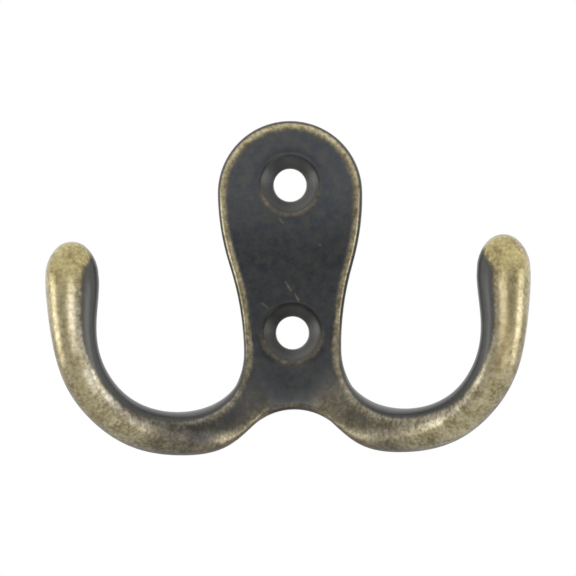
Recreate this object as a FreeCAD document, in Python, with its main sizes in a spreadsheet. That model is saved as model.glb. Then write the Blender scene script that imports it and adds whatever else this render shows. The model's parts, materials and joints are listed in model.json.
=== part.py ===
import FreeCAD, Part
import math
import os
import Sketcher

# A double robe hook, cast in one piece: a flat tongue-shaped plate with two countersunk
# screw holes, whose foot parts into two arms.  Each arm leaves the plate as a flat strip,
# sweeps down, out and forward, grows round, turns upright and ends in a blunt club.
# The wall is the plane y = 0, the front faces -Y, +Z is up, and the origin lies on the wall
# half-way between the two screws.  Lengths are in millimetres, angles in degrees.

SIZES = {
    # plate
    "plate_thickness": 3.0,
    "head_radius": 11.0,
    "head_height": 10.0,
    "shoulder_radius": 37.0,
    "waist_width": 14.8,
    "waist_drop": 14.0,
    "hip_radius": 10.5,
    "foot_turn": 45.0,
    "arch_radius": 9.3,
    "arch_fall": 8.9,
    "rim_radius": 1.2,
    "foot_round": 1.5,
    # screws
    "screw_spacing": 22.5,
    "screw_hole": 5.0,
    "sink_width": 9.0,
    "sink_angle": 90.0,
    # arms
    "tip_depth": 21.9,
    "sweep_power": 2.0,
    "low_point": 16.5,
    "bend_fall": 12.0,
    "bend_power": 2.1,
    "arch_tuck": 0.7,
    "rise_drop": 8.7,
    "tip_reach": 31.25,
    "tip_height": 2.85,
    "bend_width": 6.56,
    "arm_width": 6.2,
    "tip_width": 7.74,
    "tip_dome": 5.0,
    "nose_radius": 3.1,
    "root_inset": 0.3,
    "root_cover": 0.1,
    "root_gap": 0.3,
}

V = FreeCAD.Vector
doc = FreeCAD.newDocument("double_hook")
sheet = doc.addObject("Spreadsheet::Sheet", "Sizes")
for row, (alias, value) in enumerate(SIZES.items(), start=1):
    sheet.set(f"A{row}", alias)
    sheet.set(f"B{row}", str(value))
    sheet.setAlias(f"B{row}", alias)
doc.recompute()


def size(alias):
    return float(sheet.get(alias))


body = doc.addObject("PartDesign::Body", "Hook")
body.Label = "double_hook"


def origin_plane(role):
    return next(f for f in body.Origin.OriginFeatures if f.Role == role)


def new_sketch(name, role):
    made = body.newObject("Sketcher::SketchObject", name)
    made.AttachmentSupport = [(origin_plane(role), "")]
    made.MapMode = "FlatFace"
    return made


def bind(sketch, expression, kind, *where_and_value):
    index = sketch.addConstraint(Sketcher.Constraint(kind, *where_and_value))
    sketch.setExpression(f"Constraints[{index}]", expression)


def arc(centre, radius, start, end):
    circle = Part.Circle(centre, V(0, 0, 1), radius)
    return Part.ArcOfCircle(circle, start, end)


# Right half of the plate's outline: head, shoulder, waist, hip, foot and the arch between the arms
head_r = size("head_radius")
head_z = size("head_height")
shoulder_r = size("shoulder_radius")
waist_x = size("waist_width") / 2
waist_z = -size("waist_drop")
hip_r = size("hip_radius")
foot_turn = math.radians(size("foot_turn"))
arch_r = size("arch_radius")
arch_z = waist_z - size("arch_fall")

narrowing = head_r - waist_x
fall = head_z - waist_z
waist_r = (fall**2 + narrowing**2) / (2 * narrowing) - shoulder_r
turn = math.asin(fall / (shoulder_r + waist_r))
hip_centre = V(waist_x + hip_r, waist_z, 0)
arch_centre = V(0, arch_z - arch_r, 0)
to_hip_end = V(-math.cos(foot_turn), -math.sin(foot_turn), 0) * hip_r
to_arch_end = V(math.sin(foot_turn), math.cos(foot_turn), 0) * arch_r

outline = new_sketch("PlateOutline", "XZ_Plane")
HEAD, SHOULDER, WAIST, HIP, FOOT, ARCH, AXIS = range(7)
START, END, CENTRE = range(1, 4)
outline.addGeometry(
    [
        arc(V(0, head_z, 0), head_r, 0, math.pi / 2),
        arc(V(head_r - shoulder_r, head_z, 0), shoulder_r, -turn, 0),
        arc(V(waist_x + waist_r, waist_z, 0), waist_r, math.pi - turn, math.pi),
        arc(hip_centre, hip_r, math.pi, math.pi + foot_turn),
        Part.LineSegment(hip_centre + to_hip_end, arch_centre + to_arch_end),
        arc(arch_centre, arch_r, math.pi / 2 - foot_turn, math.pi / 2),
        Part.LineSegment(V(0, arch_z, 0), V(0, head_z + head_r, 0)),
    ],
    False,
)
outline.addConstraint(
    [
        Sketcher.Constraint("Tangent", HEAD, START, SHOULDER, END),
        Sketcher.Constraint("Tangent", SHOULDER, START, WAIST, START),
        Sketcher.Constraint("Tangent", WAIST, END, HIP, START),
        Sketcher.Constraint("Coincident", HIP, END, FOOT, START),
        Sketcher.Constraint("Coincident", FOOT, END, ARCH, START),
        Sketcher.Constraint("Coincident", ARCH, END, AXIS, START),
        Sketcher.Constraint("Coincident", AXIS, END, HEAD, END),
        Sketcher.Constraint("PointOnObject", AXIS, START, -2),
        Sketcher.Constraint("PointOnObject", AXIS, END, -2),
        Sketcher.Constraint("PointOnObject", HEAD, CENTRE, -2),
        Sketcher.Constraint("PointOnObject", ARCH, CENTRE, -2),
        Sketcher.Constraint("Horizontal", HEAD, START, HEAD, CENTRE),
        Sketcher.Constraint("Horizontal", WAIST, END, WAIST, CENTRE),
    ]
)
bind(outline, "Sizes.head_radius", "Radius", HEAD, head_r)
bind(outline, "Sizes.head_height", "DistanceY", -1, 1, HEAD, CENTRE, head_z)
bind(outline, "Sizes.shoulder_radius", "Radius", SHOULDER, shoulder_r)
bind(outline, "Sizes.waist_width / 2", "DistanceX", -1, 1, WAIST, END, waist_x)
bind(outline, "Sizes.waist_drop", "DistanceY", WAIST, END, -1, 1, -waist_z)
bind(outline, "Sizes.hip_radius", "Radius", HIP, hip_r)
hip_span = "Sizes.hip_radius * cos(Sizes.foot_turn * 1 deg)"
bind(outline, hip_span, "DistanceX", HIP, END, HIP, CENTRE, -to_hip_end.x)
arch_span = "Sizes.arch_radius * sin(Sizes.foot_turn * 1 deg)"
bind(outline, arch_span, "DistanceX", ARCH, CENTRE, ARCH, START, to_arch_end.x)
bind(outline, "Sizes.arch_radius", "Radius", ARCH, arch_r)
bind(outline, "Sizes.arch_fall", "DistanceY", ARCH, END, WAIST, END, waist_z - arch_z)

plate = body.newObject("PartDesign::Pad", "Plate")
plate.Profile = outline
plate.setExpression("Length", "Sizes.plate_thickness")
doc.recompute()

# Rounded front rim, along the curves of the outline
NEAR = 1e-4


def lies_at_depth(edge, depth):
    box = edge.BoundBox
    return abs(box.YMin + depth) < NEAR and abs(box.YMax + depth) < NEAR


def on_front_rim(edge):
    return edge.Curve.TypeId == "Part::GeomCircle" and lies_at_depth(edge, size("plate_thickness"))


def on_foot_back(edge):
    return edge.Curve.TypeId == "Part::GeomLine" and lies_at_depth(edge, 0) and edge.BoundBox.XMin > NEAR


def round_off(name, base, wanted, radius):
    made = body.newObject("PartDesign::Fillet", name)
    made.Base = (base, [f"Edge{n}" for n, e in enumerate(base.Shape.Edges, 1) if wanted(e)])
    made.setExpression("Radius", radius)
    doc.recompute()
    return made


rim = round_off("FrontRim", plate, on_front_rim, "Sizes.rim_radius")

# Rounded end of the foot, where the back of the arm leaves the wall
round_off("FootRound", rim, on_foot_back, "Sizes.foot_round")

# Right arm: a loft from a flat strip inside the plate to a round bar.  Its depth grows with
# a power of its reach, so that its front comes out of the plate's face with hardly a crease.
ROOT_X = "(Sizes.waist_width / 4)"
ROOT_HALF_WIDTH = "(Sizes.waist_width / 4 - Sizes.root_inset)"
ROOT_HALF_DEPTH = "((Sizes.plate_thickness - Sizes.root_cover - Sizes.root_gap) / 2)"
ROOT_DEPTH = f"(Sizes.root_gap + {ROOT_HALF_DEPTH})"
SWELL = f"(Sizes.bend_width / 2 - {ROOT_HALF_DEPTH})"
SPAN = f"(Sizes.tip_reach - {ROOT_X})"
REACH = f"(Sizes.tip_depth - {ROOT_DEPTH} - {SWELL})"
ROUND = 0.7836  # corner of an eight-pole curve that comes nearest to a circle
GUESS = 3.0  # radius that a section is drawn at before its sizes are bound


def place_section(sketch, x, z, run, rise, swell):
    # run and rise: direction of the arm's centre line seen from the front
    share = f"abs((({x}) - {ROOT_X}) / {SPAN})"
    depth = f"({ROOT_DEPTH} + {swell} * {SWELL} + {REACH} * {share}^Sizes.sweep_power)"
    slope = f"(Sizes.sweep_power * {REACH} / {SPAN} * {share}^(Sizes.sweep_power - 1))"
    turned = f"atan2(({run}) * sqrt(1 + {slope}^2); {rise})"
    sketch.setExpression(
        "AttachmentOffset",
        f"placement(vector({x}; -{depth}; {z}); rotationz(-atan({slope})) * rotationy({turned}))",
    )


def draw_rounded(sketch, half_width, half_depth, corner):
    # A closed curve of eight poles, four on the sides and four at the corners
    side = 1.5 - corner / 2
    poles = [
        V(corner, -corner, 0),
        V(side, 0, 0),
        V(corner, corner, 0),
        V(0, side, 0),
        V(-corner, corner, 0),
        V(-side, 0, 0),
        V(-corner, -corner, 0),
        V(0, -side, 0),
    ]
    curve = Part.BSplineCurve()
    curve.buildFromPolesMultsKnots([p * GUESS for p in poles], [1] * 9, list(range(9)), True, 3)
    sketch.addGeometry(curve, False)
    sketch.exposeInternalGeometry(0)
    LOW_RIGHT, RIGHT, HIGH_RIGHT, HIGH, HIGH_LEFT, LEFT, LOW_LEFT, LOW = range(1, 9)
    sketch.addConstraint(
        [
            Sketcher.Constraint("PointOnObject", RIGHT, CENTRE, -1),
            Sketcher.Constraint("PointOnObject", HIGH, CENTRE, -2),
            Sketcher.Constraint("Symmetric", RIGHT, CENTRE, LEFT, CENTRE, -1, 1),
            Sketcher.Constraint("Symmetric", HIGH, CENTRE, LOW, CENTRE, -1, 1),
            Sketcher.Constraint("Symmetric", HIGH_RIGHT, CENTRE, LOW_LEFT, CENTRE, -1, 1),
            Sketcher.Constraint("Symmetric", HIGH_RIGHT, CENTRE, HIGH_LEFT, CENTRE, -2),
            Sketcher.Constraint("Symmetric", HIGH_RIGHT, CENTRE, LOW_RIGHT, CENTRE, -1),
        ]
    )
    bind(sketch, f"{side} * ({half_width})", "DistanceX", -1, 1, RIGHT, CENTRE, side * GUESS)
    bind(sketch, f"{side} * ({half_depth})", "DistanceY", -1, 1, HIGH, CENTRE, side * GUESS)
    bind(sketch, f"{corner} * ({half_width})", "DistanceX", -1, 1, HIGH_RIGHT, CENTRE, corner * GUESS)
    bind(sketch, f"{corner} * ({half_depth})", "DistanceY", -1, 1, HIGH_RIGHT, CENTRE, corner * GUESS)


def draw_circle(sketch, radius):
    sketch.addGeometry(Part.Circle(V(0, 0, 0), V(0, 0, 1), GUESS), False)
    sketch.addConstraint(Sketcher.Constraint("Coincident", 0, CENTRE, -1, 1))
    bind(sketch, radius, "Radius", 0, GUESS)


# Inner half of the bend.  Tuck draws a section's lower edge up to the arch, so that the arch's
# edge runs on into the arm's.
sections = []
FULLNESS = "(2 / Sizes.bend_power)"  # 1 for an elliptical bend, less for a squarer one
inner_run = f"(Sizes.low_point - {ROOT_X})"
for angle, swell, corner, tuck in (
    (15, 0, 1.1, 0),
    (30, 0.05, 1.08, 0.5),
    (47.5, 0.28, 1.02, 1),
    (67.5, 0.68, 0.94, 0),
):
    made = new_sketch(f"RootSection{len(sections)}", "XY_Plane")
    run = f"{inner_run} * sin({angle} deg)"
    drop = f"Sizes.bend_fall * cos({angle} deg)"
    lift = f"{tuck / 2} * Sizes.arch_tuck / sqrt(({run})^2 + ({drop})^2)"
    place_section(
        made,
        f"Sizes.low_point - {inner_run} * cos({angle} deg)^{FULLNESS} + {lift} * {drop}",
        f"-Sizes.waist_drop - Sizes.bend_fall * sin({angle} deg)^{FULLNESS} + {lift} * {run}",
        run,
        f"-{drop}",
        swell,
    )
    draw_rounded(
        made,
        f"{ROOT_HALF_WIDTH} + {angle / 90} * (Sizes.bend_width / 2 - {ROOT_HALF_WIDTH})"
        f" - {tuck / 2} * Sizes.arch_tuck",
        f"{ROOT_HALF_DEPTH} + {swell} * {SWELL}",
        corner,
    )
    sections.append(made)

# Outer half of the bend, which slims and then swells towards the club
outer_run = "(Sizes.tip_reach - Sizes.low_point)"
low_level = "(Sizes.waist_drop + Sizes.bend_fall)"
outer_rise = f"({low_level} - Sizes.rise_drop)"
for angle, slim, club, corner in (
    (0, 0, 0, 0.86),
    (22.5, 0.4, 0, 0.81),
    (45, 0.9, 0, ROUND),
    (67.5, 1, 0.1, ROUND),
    (90, 1, 0.5, ROUND),
):
    made = new_sketch(f"ArmSection{len(sections)}", "XY_Plane")
    place_section(
        made,
        f"Sizes.low_point + {outer_run} * sin({angle} deg)^{FULLNESS}",
        f"-{low_level} + {outer_rise} * (1 - cos({angle} deg)^{FULLNESS})",
        f"{outer_run} * cos({angle} deg)",
        f"{outer_rise} * sin({angle} deg)",
        1,
    )
    radius = (
        f"Sizes.bend_width / 2 + {slim} * (Sizes.arm_width - Sizes.bend_width) / 2"
        f" + {club} * (Sizes.tip_width - Sizes.arm_width) / 2"
    )
    if corner > ROUND:
        draw_rounded(made, radius, radius, corner)
    else:
        draw_circle(made, radius)
    sections.append(made)

straight = "(Sizes.tip_height - Sizes.tip_dome + Sizes.rise_drop)"
for share, club in ((0.5, 0.9), (1, 1)):
    made = new_sketch(f"ArmSection{len(sections)}", "XY_Plane")
    place_section(made, "Sizes.tip_reach", f"-Sizes.rise_drop + {share} * {straight}", "0", "1", 1)
    radius = f"Sizes.arm_width / 2 + {club} * (Sizes.tip_width - Sizes.arm_width) / 2"
    draw_circle(made, radius)
    sections.append(made)

doc.recompute()
arm = body.newObject("PartDesign::AdditiveLoft", "Arm")
arm.Profile = sections[0]
arm.Sections = sections[1:]
doc.recompute()

# Blunt end of the arm
nose = new_sketch("TipProfile", "XZ_Plane")
nose.setExpression("AttachmentOffset.Base.x", "Sizes.tip_reach")
nose.setExpression("AttachmentOffset.Base.y", "Sizes.tip_height - Sizes.tip_dome")
nose.setExpression("AttachmentOffset.Base.z", "Sizes.tip_depth")
tip_r = size("tip_width") / 2
dome = size("tip_dome")
nose_r = size("nose_radius")
side_r = (tip_r**2 + (dome - nose_r) ** 2 - nose_r**2) / (2 * (tip_r - nose_r))
meet = math.atan2(dome - nose_r, side_r - tip_r)
BASE, SIDE, NOSE, AXLE = range(4)
nose.addGeometry(
    [
        Part.LineSegment(V(0, 0, 0), V(tip_r, 0, 0)),
        arc(V(tip_r - side_r, 0, 0), side_r, 0, meet),
        arc(V(0, dome - nose_r, 0), nose_r, meet, math.pi / 2),
        Part.LineSegment(V(0, dome, 0), V(0, 0, 0)),
    ],
    False,
)
nose.addConstraint(
    [
        Sketcher.Constraint("Coincident", BASE, START, -1, 1),
        Sketcher.Constraint("Horizontal", BASE),
        Sketcher.Constraint("Coincident", BASE, END, SIDE, START),
        Sketcher.Constraint("PointOnObject", SIDE, CENTRE, -1),
        Sketcher.Constraint("Tangent", SIDE, END, NOSE, START),
        Sketcher.Constraint("PointOnObject", NOSE, CENTRE, -2),
        Sketcher.Constraint("Coincident", NOSE, END, AXLE, START),
        Sketcher.Constraint("Coincident", AXLE, END, BASE, START),
        Sketcher.Constraint("Vertical", AXLE),
    ]
)
bind(nose, "Sizes.tip_width / 2", "Distance", BASE, tip_r)
bind(nose, "Sizes.tip_dome", "Distance", AXLE, dome)
bind(nose, "Sizes.nose_radius", "Radius", NOSE, nose_r)

tip = body.newObject("PartDesign::Revolution", "Tip")
tip.Profile = nose
tip.ReferenceAxis = (nose, ["V_Axis"])
tip.Angle = 360
doc.recompute()

# Left half
both = body.newObject("PartDesign::Mirrored", "BothArms")
both.TransformMode = "Whole shape"
both.MirrorPlane = (origin_plane("YZ_Plane"), [""])
body.Tip = both
doc.recompute()

# Countersunk screw holes
screws = new_sketch("ScrewCentres", "XZ_Plane")
screws.setExpression("AttachmentOffset.Base.z", "Sizes.plate_thickness")
half = size("screw_spacing") / 2
for n, z in enumerate((half, -half)):
    screws.addGeometry(Part.Circle(V(0, z, 0), V(0, 0, 1), size("screw_hole") / 2), False)
    screws.addConstraint(Sketcher.Constraint("PointOnObject", n, CENTRE, -2))
    bind(screws, "Sizes.screw_hole", "Diameter", n, size("screw_hole"))
bind(screws, "Sizes.screw_spacing / 2", "DistanceY", -1, 1, 0, CENTRE, half)
bind(screws, "Sizes.screw_spacing / 2", "DistanceY", 1, CENTRE, -1, 1, half)
doc.recompute()

holes = body.newObject("PartDesign::Hole", "ScrewHoles")
holes.Profile = screws
holes.DepthType = "ThroughAll"
holes.HoleCutType = "Countersink"
holes.HoleCutCustomValues = True
holes.setExpression("Diameter", "Sizes.screw_hole")
holes.setExpression("HoleCutDiameter", "Sizes.sink_width")
holes.setExpression("HoleCutCountersinkAngle", "Sizes.sink_angle")
body.Tip = holes
doc.recompute()

for made in doc.Objects:
    if "Invalid" in made.State or "Error" in made.State:
        raise RuntimeError(f"{made.Name} did not build: {made.State}")
if body.Shape.isNull() or not body.Shape.isValid():
    raise RuntimeError("the hook has no valid shape")
if len(body.Shape.Solids) != 1:
    raise RuntimeError("the hook is not one piece")
print(len(body.Shape.Solids), len(body.Shape.Faces), body.Shape.Volume, body.Shape.optimalBoundingBox())
os.makedirs("parts", exist_ok=True)
body.Shape.exportStep("parts/double_hook.step")
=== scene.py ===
import json
import math

import bpy
import numpy as np
from mathutils import Matrix, Vector

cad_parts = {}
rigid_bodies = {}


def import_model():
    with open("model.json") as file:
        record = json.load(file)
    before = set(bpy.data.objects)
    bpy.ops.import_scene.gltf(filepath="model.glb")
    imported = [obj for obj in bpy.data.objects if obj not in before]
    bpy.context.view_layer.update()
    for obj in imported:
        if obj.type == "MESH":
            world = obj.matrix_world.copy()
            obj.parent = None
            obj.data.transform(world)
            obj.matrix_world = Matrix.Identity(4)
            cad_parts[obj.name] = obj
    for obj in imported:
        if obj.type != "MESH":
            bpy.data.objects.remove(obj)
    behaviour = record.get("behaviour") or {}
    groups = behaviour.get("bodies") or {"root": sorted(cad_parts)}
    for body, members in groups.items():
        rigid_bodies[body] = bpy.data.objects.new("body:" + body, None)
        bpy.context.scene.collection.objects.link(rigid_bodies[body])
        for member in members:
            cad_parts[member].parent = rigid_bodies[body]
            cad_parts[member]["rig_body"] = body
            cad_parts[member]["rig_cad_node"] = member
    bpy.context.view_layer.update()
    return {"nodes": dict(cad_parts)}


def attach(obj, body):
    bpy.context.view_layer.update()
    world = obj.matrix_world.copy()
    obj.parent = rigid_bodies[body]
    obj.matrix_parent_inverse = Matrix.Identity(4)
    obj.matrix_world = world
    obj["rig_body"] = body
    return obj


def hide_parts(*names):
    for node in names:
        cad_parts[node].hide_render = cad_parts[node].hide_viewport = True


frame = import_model()
scene = bpy.context.scene
mm = 0.001  # the scene is in metres, the numbers below are in millimetres
tiny = 1e-6  # keeps a division away from zero


def linearColour(hexText):
    parts = [int(hexText[i:i + 2], 16) / 255 for i in (1, 3, 5)]
    linear = [c / 12.92 if c <= 0.04045 else ((c + 0.055) / 1.055) ** 2.4 for c in parts]
    return (*linear, 1.0)


# 0 up to start and 1 from end on; start may be the greater of the two
def smoothStep(start, end, values):
    t = np.clip((values - start) / (end - start), 0, 1)
    return t * t * (3 - 2 * t)


def between(fromValue, toValue, share):
    return fromValue + (toValue - fromValue) * share


# adds one node, gives it its settings, and sets or links each named input
def addNode(tree, kind, inputs=None, **settings):
    node = tree.nodes.new(kind)
    for name, value in settings.items():
        setattr(node, name, value)
    for name, value in (inputs or {}).items():
        if isinstance(value, bpy.types.NodeSocket):
            tree.links.new(value, node.inputs[name])
        else:
            node.inputs[name].default_value = value
    return node


# Sockets of a Mix node that share their names: for colours, and for plain values
colourA, colourB, colourMix = 6, 7, 2
valueA, valueB, valueMix = 2, 3, 0

# The casting: an even skin over the solid, with its sharp edges softened
# as plating and tumbling leave them
casting = {
    "weldMm": 0.001,
    "voxelMm": 0.235,
    "smoothFactor": 0.5,
    "smoothPasses": 6,
    "flowPasses": 65,  # the face flows into the arms without a crease
    "flowMm": (2.0, 4.0, 13.0, 16.0),  # from the middle, where that starts and ends
    "flowTopMm": (-7.0, -10.0),
    "flowFacing": (0.86, 0.95),
    "flowLeast": 0.01,
}

bpy.ops.object.select_all(action="DESELECT")
solid = frame["nodes"]["double_hook"]
solid.select_set(True)
bpy.context.view_layer.objects.active = solid
bpy.ops.object.duplicate()
hook = bpy.context.active_object
hook.name = "hookCasting"
hook.data.name = "hookCasting"
hook.parent = None
for tag in ("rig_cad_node", "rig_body"):  # the copy is no CAD node
    del hook[tag]
hook.data.materials.clear()

bpy.ops.object.mode_set(mode="EDIT")
bpy.ops.mesh.select_all(action="SELECT")
bpy.ops.mesh.remove_doubles(threshold=casting["weldMm"] * mm)
bpy.ops.object.mode_set(mode="OBJECT")

skin = hook.modifiers.new("evenSkin", "REMESH")
skin.mode = "VOXEL"
skin.voxel_size = casting["voxelMm"] * mm
skin.use_smooth_shade = True
bpy.ops.object.modifier_apply(modifier=skin.name)
soften = hook.modifiers.new("tumbledEdges", "SMOOTH")
soften.factor = casting["smoothFactor"]
soften.iterations = casting["smoothPasses"]
bpy.ops.object.modifier_apply(modifier=soften.name)
bpy.ops.object.shade_smooth()


# places in mm and directions of all points of a mesh
def readPoints(mesh):
    numbers = np.empty((2, len(mesh.vertices) * 3))
    mesh.vertices.foreach_get("co", numbers[0])
    mesh.vertices.foreach_get("normal", numbers[1])
    return numbers[0].reshape(-1, 3) / mm, numbers[1].reshape(-1, 3)


place, facing = readPoints(hook.data)
start, full, fade, end = casting["flowMm"]
outward = np.abs(place[:, 0])
weights = smoothStep(start, full, outward) * (1 - smoothStep(fade, end, outward))
weights *= smoothStep(*casting["flowTopMm"], place[:, 2])
weights *= smoothStep(*casting["flowFacing"], -facing[:, 1])
flow = hook.vertex_groups.new(name="flow")
for point in np.nonzero(weights > casting["flowLeast"])[0]:
    flow.add([int(point)], float(weights[point]), "REPLACE")
soften = hook.modifiers.new("flowIntoArms", "SMOOTH")
soften.factor = casting["smoothFactor"]
soften.iterations = casting["flowPasses"]
soften.vertex_group = flow.name
bpy.ops.object.modifier_apply(modifier=soften.name)
hook.vertex_groups.clear()
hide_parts("double_hook")
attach(hook, "root")
print("casting:", len(hook.data.vertices), "points,", len(hook.data.polygons), "faces")

# The wear, with painted shade and painted sheen folded in: how far the dark finish is rubbed off,
# from 0 to 1 at each point. Rounded places lose it and flat places keep it; the insides of the two
# hooks are drawn dark. Painted shade darkens the surfaces turned from the front, the undersides of the
# arms and the upper side of each bend. A pair gives where something starts and where it is full, or
# else its left and its right value. Lengths and heights are in mm.
mesh = hook.data
count = len(mesh.vertices)
place, facing = readPoints(mesh)
height = place[:, 2]
outward = np.abs(place[:, 0])  # from the middle
mirrored = np.sign(place[:, 0])
toFront = -facing[:, 1]  # 1 where a surface faces the front, 0 where it is edge on
toFloor = -facing[:, 2]
ends = np.empty(len(mesh.edges) * 2, int)
mesh.edges.foreach_get("vertices", ends)
first, second = ends.reshape(-1, 2).T
neighbours = np.bincount(first, minlength=count) + np.bincount(second, minlength=count)


def fromEdges(onFirst, onSecond):
    return (np.bincount(first, onFirst, count) + np.bincount(second, onSecond, count)) / neighbours


# averages with the neighbours, as often as it takes to reach so far
def spread(values, spreadMm):
    for _ in range(round((2 * spreadMm / casting["voxelMm"]) ** 2)):
        values = 0.5 * values + 0.5 * fromEdges(values[second], values[first])
    return values


def leftRight(pair):
    return np.where(mirrored < 0, *pair)


plateWearAndShade = {
    "bulge": (0.2, 0.48),  # 1/mm, from flat and dark to rounded and bare
    "bulgeMm": 0.28,  # how far the rim's bulge is spread, then its wear, then the haze beside it
    "wearMm": 0.41,
    "hazeMm": 1.05,
    "waistHaze": 0.25,
    "headHaze": 0.6,
    "headStart": (4.0, 13.0),  # heights where the waist ends and the head starts
    "waistBare": (1.1, 0.86),  # left and right; rubbed rim, with the left painted brighter, as the light falls from the left
    "headBare": 0.82,
    "sides": (0.58, 0.97),  # painted shade: a surface that faces the front less than this is drawn dark
    "sidesBare": 0.08,
    "archTop": (-16.0, -20.0),
    "archEnd": (4.0, 8.0),
    "archBare": 0.5,
}
armWearAndLight = {
    "start": (5.0, 9.0),  # from the middle, below the next heights
    "top": (-9.0, -13.0),
    "clear": (13.0, 16.0),  # from here on at any height
    "bulge": (0.01, 0.15),
    "bulgeMm": 0.47,
    "sides": (0.0, 0.55),
    "sidesBare": 0.3,
    "under": (0.15, 0.75),  # painted shade: the undersides of the arms are drawn darker
    "underDark": 0.3,
    "hookCentre": (19.5, -9.0),  # x and z of the middle of each hook's bend
    "inside": (0.2, 0.56),  # how far a surface turns to the middle of the hook before it stays dark
    "insideDark": 0.88,
    "insidePale": 0.42,  # how much painted sheen, the paler film also drawn on the screw sinks, lies on the insides of the hooks
    "insideEnd": (-3.0, 3.5),  # heights between which the dark inside narrows to nothing on the club
    "insideNarrow": 0.75,
    "wornStart": (18.5, 13.0),  # left and right, where the arm gets bare, and where it is
    "wornFull": (28.5, 27.0),
    "rootBare": 0.44,
    "span": (3.7, 31.25),
    "lean": 1.27,  # how far the arm's front leans in at its outer end
    "strip": (0.84, 0.97),  # dark flat strip that runs from the plate on to each arm
    "stripFade": (14.0, 12.0),  # left and right, as the next two
    "stripEnd": (23.0, 19.0),
    "stripBare": (0.2, 0.37),
    "bendMm": (20.0, 23.5, 26.0, 29.5),  # painted shade: the upper side of each bend is drawn darker in the film colour
    "bendFacing": (-0.35, 0.05),
    "bendTop": (-16.0, -20.5),
    "bendShade": 0.46,
    "greyGleam": (-0.35, 0.25),  # painted highlight: the brass is drawn greyer, as a whitened gleam, as a surface turns to the middle of the hook
    "greyGleamShare": (1.0, 0.6),  # left and right
    "club": (-7.0, 0.0),  # heights between which the brass turns yellower
    "clubStart": (17.0, 20.0),
    "shadeBand": (0.86, 0.98),  # a painted dark band, the reflection of the gap between lamps, runs up each arm's front, less so on the left
    "shadeBandStart": (20.0, 25.0),
    "shadeBandDark": (0.22, 0.62),
}

step = place[second] - place[first]
turn = ((facing[second] - facing[first]) * step).sum(1) / (step ** 2).sum(1)
bulge = spread(fromEdges(turn, turn), plateWearAndShade["bulgeMm"])
armRoot = smoothStep(*armWearAndLight["start"], outward) * smoothStep(*armWearAndLight["top"], height)
onArm = np.maximum(armRoot, smoothStep(*armWearAndLight["clear"], outward))
headward = smoothStep(*plateWearAndShade["headStart"], height)
rim = spread(smoothStep(*plateWearAndShade["bulge"], bulge), plateWearAndShade["wearMm"])
haze = between(plateWearAndShade["waistHaze"], plateWearAndShade["headHaze"], headward)
rim += haze * spread(rim, plateWearAndShade["hazeMm"])
bulge = spread(bulge, armWearAndLight["bulgeMm"])
reliefShadeAndSheen = rim * (1 - onArm) + smoothStep(*armWearAndLight["bulge"], bulge) * onArm

centreX, centreZ = armWearAndLight["hookCentre"]
toCentreX = centreX - outward
toCentreZ = np.maximum(centreZ - height, 0)
centreMm = np.hypot(toCentreX, toCentreZ) + tiny
inward = (facing[:, 0] * mirrored * toCentreX + facing[:, 2] * toCentreZ) / centreMm
narrow = armWearAndLight["insideNarrow"] * smoothStep(*armWearAndLight["insideEnd"], height)
inside = onArm * smoothStep(*armWearAndLight["inside"], inward - narrow)
reliefShadeAndSheen *= 1 - armWearAndLight["insideDark"] * inside

# painted shade: surfaces of the plate and the arms that turn from the front are drawn darker
for wear, share in ((plateWearAndShade, 1 - onArm), (armWearAndLight, onArm)):
    front = smoothStep(*wear["sides"], toFront)
    reliefShadeAndSheen *= 1 - share * (1 - wear["sidesBare"]) * (1 - front)
# painted shade on the undersides of the arms
reliefShadeAndSheen *= 1 - armWearAndLight["underDark"] * onArm * smoothStep(*armWearAndLight["under"], toFloor)
towardsTip = smoothStep(leftRight(armWearAndLight["wornStart"]), leftRight(armWearAndLight["wornFull"]), outward)
armBare = between(armWearAndLight["rootBare"], 1, towardsTip)
rimBare = between(leftRight(plateWearAndShade["waistBare"]), plateWearAndShade["headBare"], headward)
reliefShadeAndSheen *= between(rimBare, armBare, onArm)

spanStart, spanEnd = armWearAndLight["span"]
lean = armWearAndLight["lean"] * np.clip((outward - spanStart) / (spanEnd - spanStart), 0, 1)
armFront = -(facing[:, 0] * mirrored * lean + facing[:, 1]) / np.hypot(lean, 1)
strip = 1 - smoothStep(leftRight(armWearAndLight["stripFade"]), leftRight(armWearAndLight["stripEnd"]), outward)
strip *= smoothStep(*armWearAndLight["strip"], armFront) * armRoot
reliefShadeAndSheen = between(reliefShadeAndSheen, leftRight(armWearAndLight["stripBare"]), strip)
# painted shade on the upper side of each bend
start, full, fade, end = armWearAndLight["bendMm"]
bend = smoothStep(start, full, outward) * (1 - smoothStep(fade, end, outward))
bend *= smoothStep(*armWearAndLight["bendFacing"], inward) * smoothStep(*armWearAndLight["bendTop"], height)
reliefShadeAndSheen *= 1 - armWearAndLight["bendShade"] * bend
nearArch = smoothStep(*plateWearAndShade["archTop"], height)
nearArch *= 1 - smoothStep(*plateWearAndShade["archEnd"], outward)
reliefShadeAndSheen *= 1 - (1 - plateWearAndShade["archBare"]) * nearArch

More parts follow.
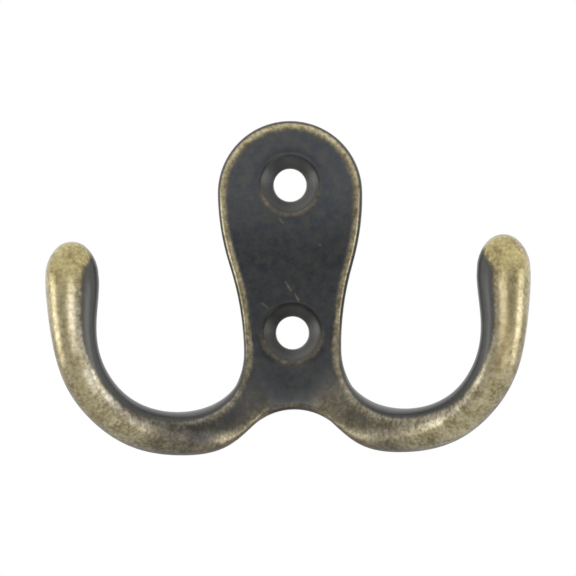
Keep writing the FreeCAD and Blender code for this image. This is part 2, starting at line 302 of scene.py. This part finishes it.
# The hips, where the face leaves the flat and parts into the arms: the film is drawn thinner there,
# partly as wear and partly as painted sheen, and paler as painted sheen
hipWearAndSheen = {
    "tilt": (0.3, 9.0),  # degrees off the flat
    "top": (-13.5, -19.0),
    "end": (10.0, 15.0),
    "facing": (0.1, 0.6),
    "spreadMm": 1.3,
    "bare": (0.16, 0.31),  # left and right, as the next
    # painted sheen on the hips, left and right
    "pale": (0.26, 0.36),
    "edge": (-0.02, 0.24),  # the lower edge, which joins the arch's rim to the arms
    "edgeStart": (2.0, 6.0),
    "edgeMm": 1.0,  # how far its wear is spread, and how much that is raised again
    "edgeGain": 1.8,
    "edgeBare": 0.55,
}
tilt = np.degrees(np.arccos(np.clip(toFront, -1, 1)))
atHip = smoothStep(*hipWearAndSheen["tilt"], tilt) * (1 - smoothStep(*hipWearAndSheen["end"], outward)) * (1 - inside)
atHip *= smoothStep(*hipWearAndSheen["top"], height) * smoothStep(*hipWearAndSheen["facing"], toFront)
atHip = spread(atHip, hipWearAndSheen["spreadMm"])
lowEdge = smoothStep(*hipWearAndSheen["edge"], toFloor) * smoothStep(*hipWearAndSheen["edgeStart"], outward)
besideEdge = np.minimum(1, hipWearAndSheen["edgeGain"] * spread(lowEdge, hipWearAndSheen["edgeMm"]))
lowEdge = np.maximum(lowEdge, besideEdge)
reliefShadeAndSheen = np.maximum(reliefShadeAndSheen, atHip * between(leftRight(hipWearAndSheen["bare"]), hipWearAndSheen["edgeBare"], lowEdge))

# The screw sinks: a thin bare ring, a painted sheen on the cone, brighter to its right and less at its
# top, and painted shade just above the ring
sinkWearAndLight = {
    "heights": (11.25, -11.25),
    "radius": 4.5,
    "facing": 0.1,  # less than this is the hole's wall
    "ringMm": 0.7,
    "ringEndMm": 1.6,  # beyond the radius
    "ringTurn": (-0.6, 0.8),  # from the bottom to the top of the ring, -1 to 1
    "ringBottomBare": 0.25,
    "ringTopBare": 0.1,
    "coneEdgeMm": 0.7,
    # painted sheen on the cone: less of it at the top, more of it on the right
    "coneTop": (0.1, 0.8),
    "coneTopDark": 0.45,
    "paleTurn": (-0.6, 0.6),  # from the left to the right of the cone, -1 to 1
    "leftPale": 0.45,
    "rightPale": 1.0,
    "sinkShadeMm": (4.2, 4.6, 6.2),  # painted shade just above the ring: where it starts, is full and ends, from the axis
    "sinkShadeTurn": (-0.3, 0.7),
    "sinkShade": 0.55,
}
sinkShade = np.zeros(count)  # up to 1 where painted shade darkens the film above a ring
paintedSheen = armWearAndLight["insidePale"] * inside  # up to 1 where a painted sheen makes the film paler
paintedSheen = np.maximum(paintedSheen, leftRight(hipWearAndSheen["pale"]) * atHip)
radius = sinkWearAndLight["radius"]
onFront = toFront > sinkWearAndLight["facing"]
for screwHeight in sinkWearAndLight["heights"]:
    up = height - screwHeight
    fromAxis = np.hypot(place[:, 0], up)
    upward = up / (fromAxis + tiny)
    rightward = place[:, 0] / (fromAxis + tiny)
    toTop = smoothStep(*sinkWearAndLight["ringTurn"], upward)
    ringBare = between(sinkWearAndLight["ringBottomBare"], sinkWearAndLight["ringTopBare"], toTop) * onFront
    ringBare *= np.exp(-((fromAxis - radius) / sinkWearAndLight["ringMm"]) ** 2)
    reliefShadeAndSheen = np.where(fromAxis < radius + sinkWearAndLight["ringEndMm"], ringBare, reliefShadeAndSheen)
    # painted sheen on the cone
    onCone = onFront * (1 - smoothStep(radius - sinkWearAndLight["coneEdgeMm"], radius, fromAxis))
    onCone *= 1 - sinkWearAndLight["coneTopDark"] * smoothStep(*sinkWearAndLight["coneTop"], upward)
    toRight = smoothStep(*sinkWearAndLight["paleTurn"], rightward)
    paintedSheen = np.maximum(paintedSheen, onCone * between(sinkWearAndLight["leftPale"], sinkWearAndLight["rightPale"], toRight))
    # painted shade just above the ring
    start, full, end = sinkWearAndLight["sinkShadeMm"]
    upperEdge = smoothStep(start, full, fromAxis) * (1 - smoothStep(full, end, fromAxis)) * onFront
    upperEdge *= smoothStep(*sinkWearAndLight["sinkShadeTurn"], upward)
    sinkShade = np.maximum(sinkShade, sinkWearAndLight["sinkShade"] * upperEdge)

# Scratches on the plate, as keys and cloth hangers leave them
scratchWear = {
    "fromTo": {  # x and z of both ends
        "shortOne": ((-2.4, 7.2), (-1.9, 6.7)),
        "nextOne": ((-1.6, 6.0), (-1.1, 5.5)),
        "longOne": ((-0.9, -3.4), (0.0, -4.9)),
        "lowOne": ((0.5, -5.3), (1.1, -6.3)),
        "sideOne": ((-4.5, -6.6), (-3.7, -7.3)),
        "speck": ((4.4, 2.1), (4.5, 2.0)),
    },
    "widthMm": 0.2,
    "bare": 0.27,
    "facing": 0.9,
}
for start, end in scratchWear["fromTo"].values():
    along = np.array(end) - np.array(start)
    offset = place[:, [0, 2]] - np.array(start)
    share = np.clip(offset @ along / (along @ along), 0, 1)
    away = np.linalg.norm(offset - share[:, None] * along, axis=1)
    scratch = np.exp(-(away / scratchWear["widthMm"]) ** 2) * (toFront > scratchWear["facing"])
    reliefShadeAndSheen = np.maximum(reliefShadeAndSheen, scratchWear["bare"] * scratch)

clubward = smoothStep(*armWearAndLight["club"], height)
club = clubward * smoothStep(*armWearAndLight["clubStart"], outward)
# painted highlight: greyer brass on surfaces turned to the middle of each hook
greyGleam = onArm * smoothStep(*armWearAndLight["greyGleam"], inward) * leftRight(armWearAndLight["greyGleamShare"])
# painted dark reflection band up the front of each arm
shadeBand = smoothStep(*armWearAndLight["shadeBand"], toFront) * smoothStep(*armWearAndLight["shadeBandStart"], outward)
shadeBand *= leftRight(armWearAndLight["shadeBandDark"]) * (1 - clubward)
wearAndPaintedLight = {
    "reliefShadeAndSheen": reliefShadeAndSheen,
    "sinkShade": sinkShade,
    "paintedSheen": paintedSheen,
    "club": club,
    "greyGleam": greyGleam,
    "shadeBand": shadeBand,
}
for name, values in wearAndPaintedLight.items():
    mesh.attributes.new(name, "FLOAT", "POINT").data.foreach_set("value", values)
print("wear: mean relief", round(float(reliefShadeAndSheen.mean()), 3))

# Antique brass: brass plate on a zinc casting, blackened all over and then tumbled, so that a charcoal
# film stays in the flats and pale, faintly mottled brass shows on whatever sticks out
finish = {
    "film": "#171D24",
    "filmWarm": "#302F2D",
    "filmLitHead": "#474C53",  # painted light: both are drawn paler towards the head, which catches more of the light
    "filmLitHeadWarm": "#555553",
    "headMm": (-1.0, 13.0),
    "headShare": 0.75,
    # painted sheen: a paler film on the sink cones, the hips and the insides of the hooks
    "filmSheen": "#848481",
    # painted shade above the screw sinks
    "filmDeep": "#12151A",
    "filmThin": "#565149",  # where the film is nearly rubbed through
    "brass": "#D3C8A2",
    "brassGleam": "#D8D2C0",  # painted highlight: a whitened gleam towards the insides of the hooks
    "brassClub": "#D6C88A",  # yellower where hands and cloth keep it clean
    # real stain in the mottle, and the painted dark band up the front of each arm
    "brassStainAndShade": "#8F7E4E",
    "filmRoughness": 0.42,
    "brassRoughness": 0.3,
    "filmLacquer": 0.4,  # clear lacquer over film and brass, which whitens the gleams
    "brassLacquer": 1.0,
    "lacquerRoughness": 0.2,
    # mm, detail and roughness of each pattern; the real grain is too fine to show in the render,
    # so it is drawn coarser
    "grain": (0.55, 3.0, 0.6),
    "blotch": (2.4, 3.0, 0.55),
    "cloud": (1.2, 5.0, 0.7),
    "blotchShare": 0.45,
    "mottleGain": 1.5,  # how much the mottle varies the wear, and what it leaves of it
    "mottleLeast": 0.25,
    "thinned": (0.05, 0.4),  # wear at which the film starts to thin, and is nearly through
    "bared": (0.1, 0.85),
    "clouded": (0.36, 0.64),
    "stained": (0.36, 0.62),
    "bumpMm": 0.008,
}


def makeAntiqueBrass():
    material = bpy.data.materials.new("antiqueBrass")
    material.use_nodes = True
    tree = material.node_tree
    shader = tree.nodes["Principled BSDF"]
    shader.inputs["Metallic"].default_value = 1.0
    shader.inputs["Coat Roughness"].default_value = finish["lacquerRoughness"]
    where = addNode(tree, "ShaderNodeTexCoord").outputs["Object"]
    pattern = {}
    for name in ("grain", "blotch", "cloud"):
        sizeMm, detail, roughness = finish[name]
        pattern[name] = addNode(tree, "ShaderNodeTexNoise", {
            "Vector": where, "Scale": 1 / (sizeMm * mm), "Detail": detail, "Roughness": roughness,
        }).outputs["Fac"]
    mask = {}
    for name in wearAndPaintedLight:
        mask[name] = addNode(tree, "ShaderNodeAttribute", attribute_name=name).outputs["Fac"]

    # how bare each spot is: the wear with its painted shade and sheen, broken up by grain and blotches
    mottle = addNode(tree, "ShaderNodeMix", {
        "Factor": finish["blotchShare"], valueA: pattern["grain"], valueB: pattern["blotch"],
    }).outputs[valueMix]
    patchy = addNode(tree, "ShaderNodeMath", {
        0: mottle, 1: finish["mottleGain"], 2: finish["mottleLeast"],
    }, operation="MULTIPLY_ADD").outputs[0]
    bareness = addNode(tree, "ShaderNodeMath", {
        0: mask["reliefShadeAndSheen"], 1: patchy,
    }, operation="MULTIPLY").outputs[0]
    thinned, bared = (
        addNode(tree, "ShaderNodeMapRange", {
            "Value": bareness, "From Min": finish[name][0], "From Max": finish[name][1],
        }, interpolation_type="SMOOTHSTEP").outputs["Result"]
        for name in ("thinned", "bared")
    )

    # the film: clouded, painted paler towards the head where it catches more light, with painted
    # sheen, painted shade above the sinks, and thinner where worn
    clouded = addNode(tree, "ShaderNodeMapRange", {
        "Value": pattern["cloud"], "From Min": finish["clouded"][0], "From Max": finish["clouded"][1],
    }).outputs["Result"]
    above = addNode(tree, "ShaderNodeSeparateXYZ", {"Vector": where}).outputs["Z"]
    toHead = addNode(tree, "ShaderNodeMapRange", {
        "Value": above, "From Min": finish["headMm"][0] * mm, "From Max": finish["headMm"][1] * mm,
        "To Max": finish["headShare"],
    }, interpolation_type="SMOOTHSTEP").outputs["Result"]
    coolFilm, warmFilm = (
        addNode(tree, "ShaderNodeMix", {
            "Factor": toHead,
            colourA: linearColour(finish[low]), colourB: linearColour(finish[high]),
        }, data_type="RGBA").outputs[colourMix]
        for low, high in (("film", "filmLitHead"), ("filmWarm", "filmLitHeadWarm"))
    )
    film = addNode(tree, "ShaderNodeMix", {
        "Factor": clouded, colourA: coolFilm, colourB: warmFilm,
    }, data_type="RGBA").outputs[colourMix]
    for share, name in ((mask["paintedSheen"], "filmSheen"), (mask["sinkShade"], "filmDeep"), (thinned, "filmThin")):
        film = addNode(tree, "ShaderNodeMix", {
            "Factor": share, colourA: film, colourB: linearColour(finish[name]),
        }, data_type="RGBA").outputs[colourMix]

    # the brass: painted greyer gleams inside the hooks, yellower on the clubs, stained in the mottle,
    # and darker in a painted reflection band up each arm's front
    brass = addNode(tree, "ShaderNodeMix", {
        "Factor": mask["greyGleam"],
        colourA: linearColour(finish["brass"]), colourB: linearColour(finish["brassGleam"]),
    }, data_type="RGBA").outputs[colourMix]
    brass = addNode(tree, "ShaderNodeMix", {
        "Factor": mask["club"], colourA: brass, colourB: linearColour(finish["brassClub"]),
    }, data_type="RGBA").outputs[colourMix]
    outsideShadeBand = addNode(tree, "ShaderNodeMath", {
        0: 1.0, 1: mask["shadeBand"],
    }, operation="SUBTRACT").outputs[0]
    cleanOfStainAndShade = addNode(tree, "ShaderNodeMapRange", {
        "Value": mottle, "From Min": finish["stained"][0], "From Max": finish["stained"][1],
        "To Max": outsideShadeBand,
    }).outputs["Result"]
    brass = addNode(tree, "ShaderNodeMix", {
        "Factor": cleanOfStainAndShade, colourA: linearColour(finish["brassStainAndShade"]), colourB: brass,
    }, data_type="RGBA").outputs[colourMix]

    colour = addNode(tree, "ShaderNodeMix", {
        "Factor": bared, colourA: film, colourB: brass,
    }, data_type="RGBA").outputs[colourMix]
    tree.links.new(colour, shader.inputs["Base Color"])
    for name, socket in (("Roughness", "Roughness"), ("Lacquer", "Coat Weight")):
        amount = addNode(tree, "ShaderNodeMapRange", {
            "Value": bared, "To Min": finish["film" + name], "To Max": finish["brass" + name],
        }).outputs["Result"]
        tree.links.new(amount, shader.inputs[socket])
    bump = addNode(tree, "ShaderNodeBump", {
        "Height": pattern["grain"], "Strength": 1.0, "Distance": finish["bumpMm"] * mm,
    }).outputs["Normal"]
    tree.links.new(bump, shader.inputs["Normal"])
    return material


hook.data.materials.append(makeAntiqueBrass())
print("finish: antique brass")

# Pale floor below the hook, as it hangs: matt paint, which gives the eye nothing but its shade
floor = {"levelMm": -450, "sizeMm": 7000, "colour": "#F0EFEC", "roughness": 0.9}
bpy.ops.object.select_all(action="DESELECT")
bpy.ops.mesh.primitive_plane_add(size=floor["sizeMm"] * mm, location=(0, 0, floor["levelMm"] * mm))
ground = bpy.context.active_object
ground.name = "floor"
bpy.ops.object.transform_apply(location=True)
paint = bpy.data.materials.new("matt paint")
paint.use_nodes = True
paintShader = paint.node_tree.nodes["Principled BSDF"]
paintShader.inputs["Base Color"].default_value = linearColour(floor["colour"])
paintShader.inputs["Roughness"].default_value = floor["roughness"]
ground.data.materials.append(paint)

# Lamps: place and target in mm, width and height in mm, power in watts
lamps = {
    "frontBox": {"place": (-36, -600, -132), "target": (0, 0, -5), "size": (330, 280), "watts": 0.45},
    "leftBox": {"place": (-450, -50, -95), "target": (0, 0, -5), "size": (230, 240), "watts": 0.275},
    "rightBox": {"place": (430, -110, -135), "target": (0, 0, -5), "size": (230, 280), "watts": 0.31},
    "lowBox": {"place": (215, -340, -265), "target": (0, 0, -5), "size": (240, 170), "watts": 0.125},
}
for name, lamp in lamps.items():
    data = bpy.data.lights.new(name, "AREA")
    data.shape = "RECTANGLE"
    data.size = lamp["size"][0] * mm
    data.size_y = lamp["size"][1] * mm
    data.energy = lamp["watts"]
    lampObject = bpy.data.objects.new(name, data)
    scene.collection.objects.link(lampObject)
    lampObject.location = Vector(lamp["place"]) * mm
    aim = Vector(lamp["target"]) - Vector(lamp["place"])
    lampObject.rotation_euler = aim.to_track_quat("-Z", "Y").to_euler()
    lampObject.visible_camera = False

# Studio: white behind the hook; for what the metal reflects it is grey in front, paler from above
studio = {
    "frontLow": 0.46,
    "frontHigh": 0.92,
    "rise": (-0.1, 0.5),  # how far up a ray points, from low to high
    "back": 0.9,
    "depth": (-0.1, 0.45),  # how far back a ray points, from front to back
    "matt": 0.6,
    "white": 1.0,  # what the camera sees
}
world = bpy.data.worlds.new("studio")
scene.world = world
world.use_nodes = True
tree = world.node_tree
background = tree.nodes["Background"]
path = addNode(tree, "ShaderNodeLightPath")
direction = addNode(tree, "ShaderNodeSeparateXYZ", {
    "Vector": addNode(tree, "ShaderNodeTexCoord").outputs["Generated"],
})
inFront = addNode(tree, "ShaderNodeMapRange", {
    "Value": direction.outputs["Z"], "From Min": studio["rise"][0], "From Max": studio["rise"][1],
    "To Min": studio["frontLow"], "To Max": studio["frontHigh"],
}, interpolation_type="SMOOTHSTEP").outputs["Result"]
seen = addNode(tree, "ShaderNodeMapRange", {
    "Value": direction.outputs["Y"], "From Min": studio["depth"][0], "From Max": studio["depth"][1],
    "To Min": inFront, "To Max": studio["back"],
}, interpolation_type="SMOOTHSTEP").outputs["Result"]
shiny = addNode(tree, "ShaderNodeMath", {
    0: path.outputs["Is Glossy Ray"], 1: path.outputs["Is Transmission Ray"],
}, operation="MAXIMUM").outputs[0]
offCamera = addNode(tree, "ShaderNodeMix", {
    "Factor": shiny, valueA: studio["matt"], valueB: seen,
}).outputs[valueMix]
strength = addNode(tree, "ShaderNodeMix", {
    "Factor": path.outputs["Is Camera Ray"], valueA: offCamera, valueB: studio["white"],
}).outputs[valueMix]
background.inputs["Color"].default_value = (1, 1, 1, 1)
tree.links.new(strength, background.inputs["Strength"])
scene.view_settings.view_transform = "Standard"

# Camera: square on to the plate from a little right of its middle, with the photograph's slight roll
camera = {
    "place": (12, -420, -4.4),
    "target": (-0.5, -3, -4.4),
    "rollDegrees": -0.95,
    "lens": 172,
    "sensor": 36,
    "clipStart": 10,
}
cameraData = bpy.data.cameras.new("camera")
cameraData.sensor_width = camera["sensor"]
cameraData.lens = camera["lens"]
cameraData.clip_start = camera["clipStart"] * mm
cameraObject = bpy.data.objects.new("camera", cameraData)
scene.collection.objects.link(cameraObject)
aim = Vector(camera["target"]) - Vector(camera["place"])
turned = aim.to_track_quat("-Z", "Y").to_matrix().to_4x4()
roll = Matrix.Rotation(math.radians(camera["rollDegrees"]), 4, "Z")
cameraObject.matrix_world = Matrix.Translation(Vector(camera["place"]) * mm) @ turned @ roll
scene.camera = cameraObject
print("studio: lamps, floor and camera")
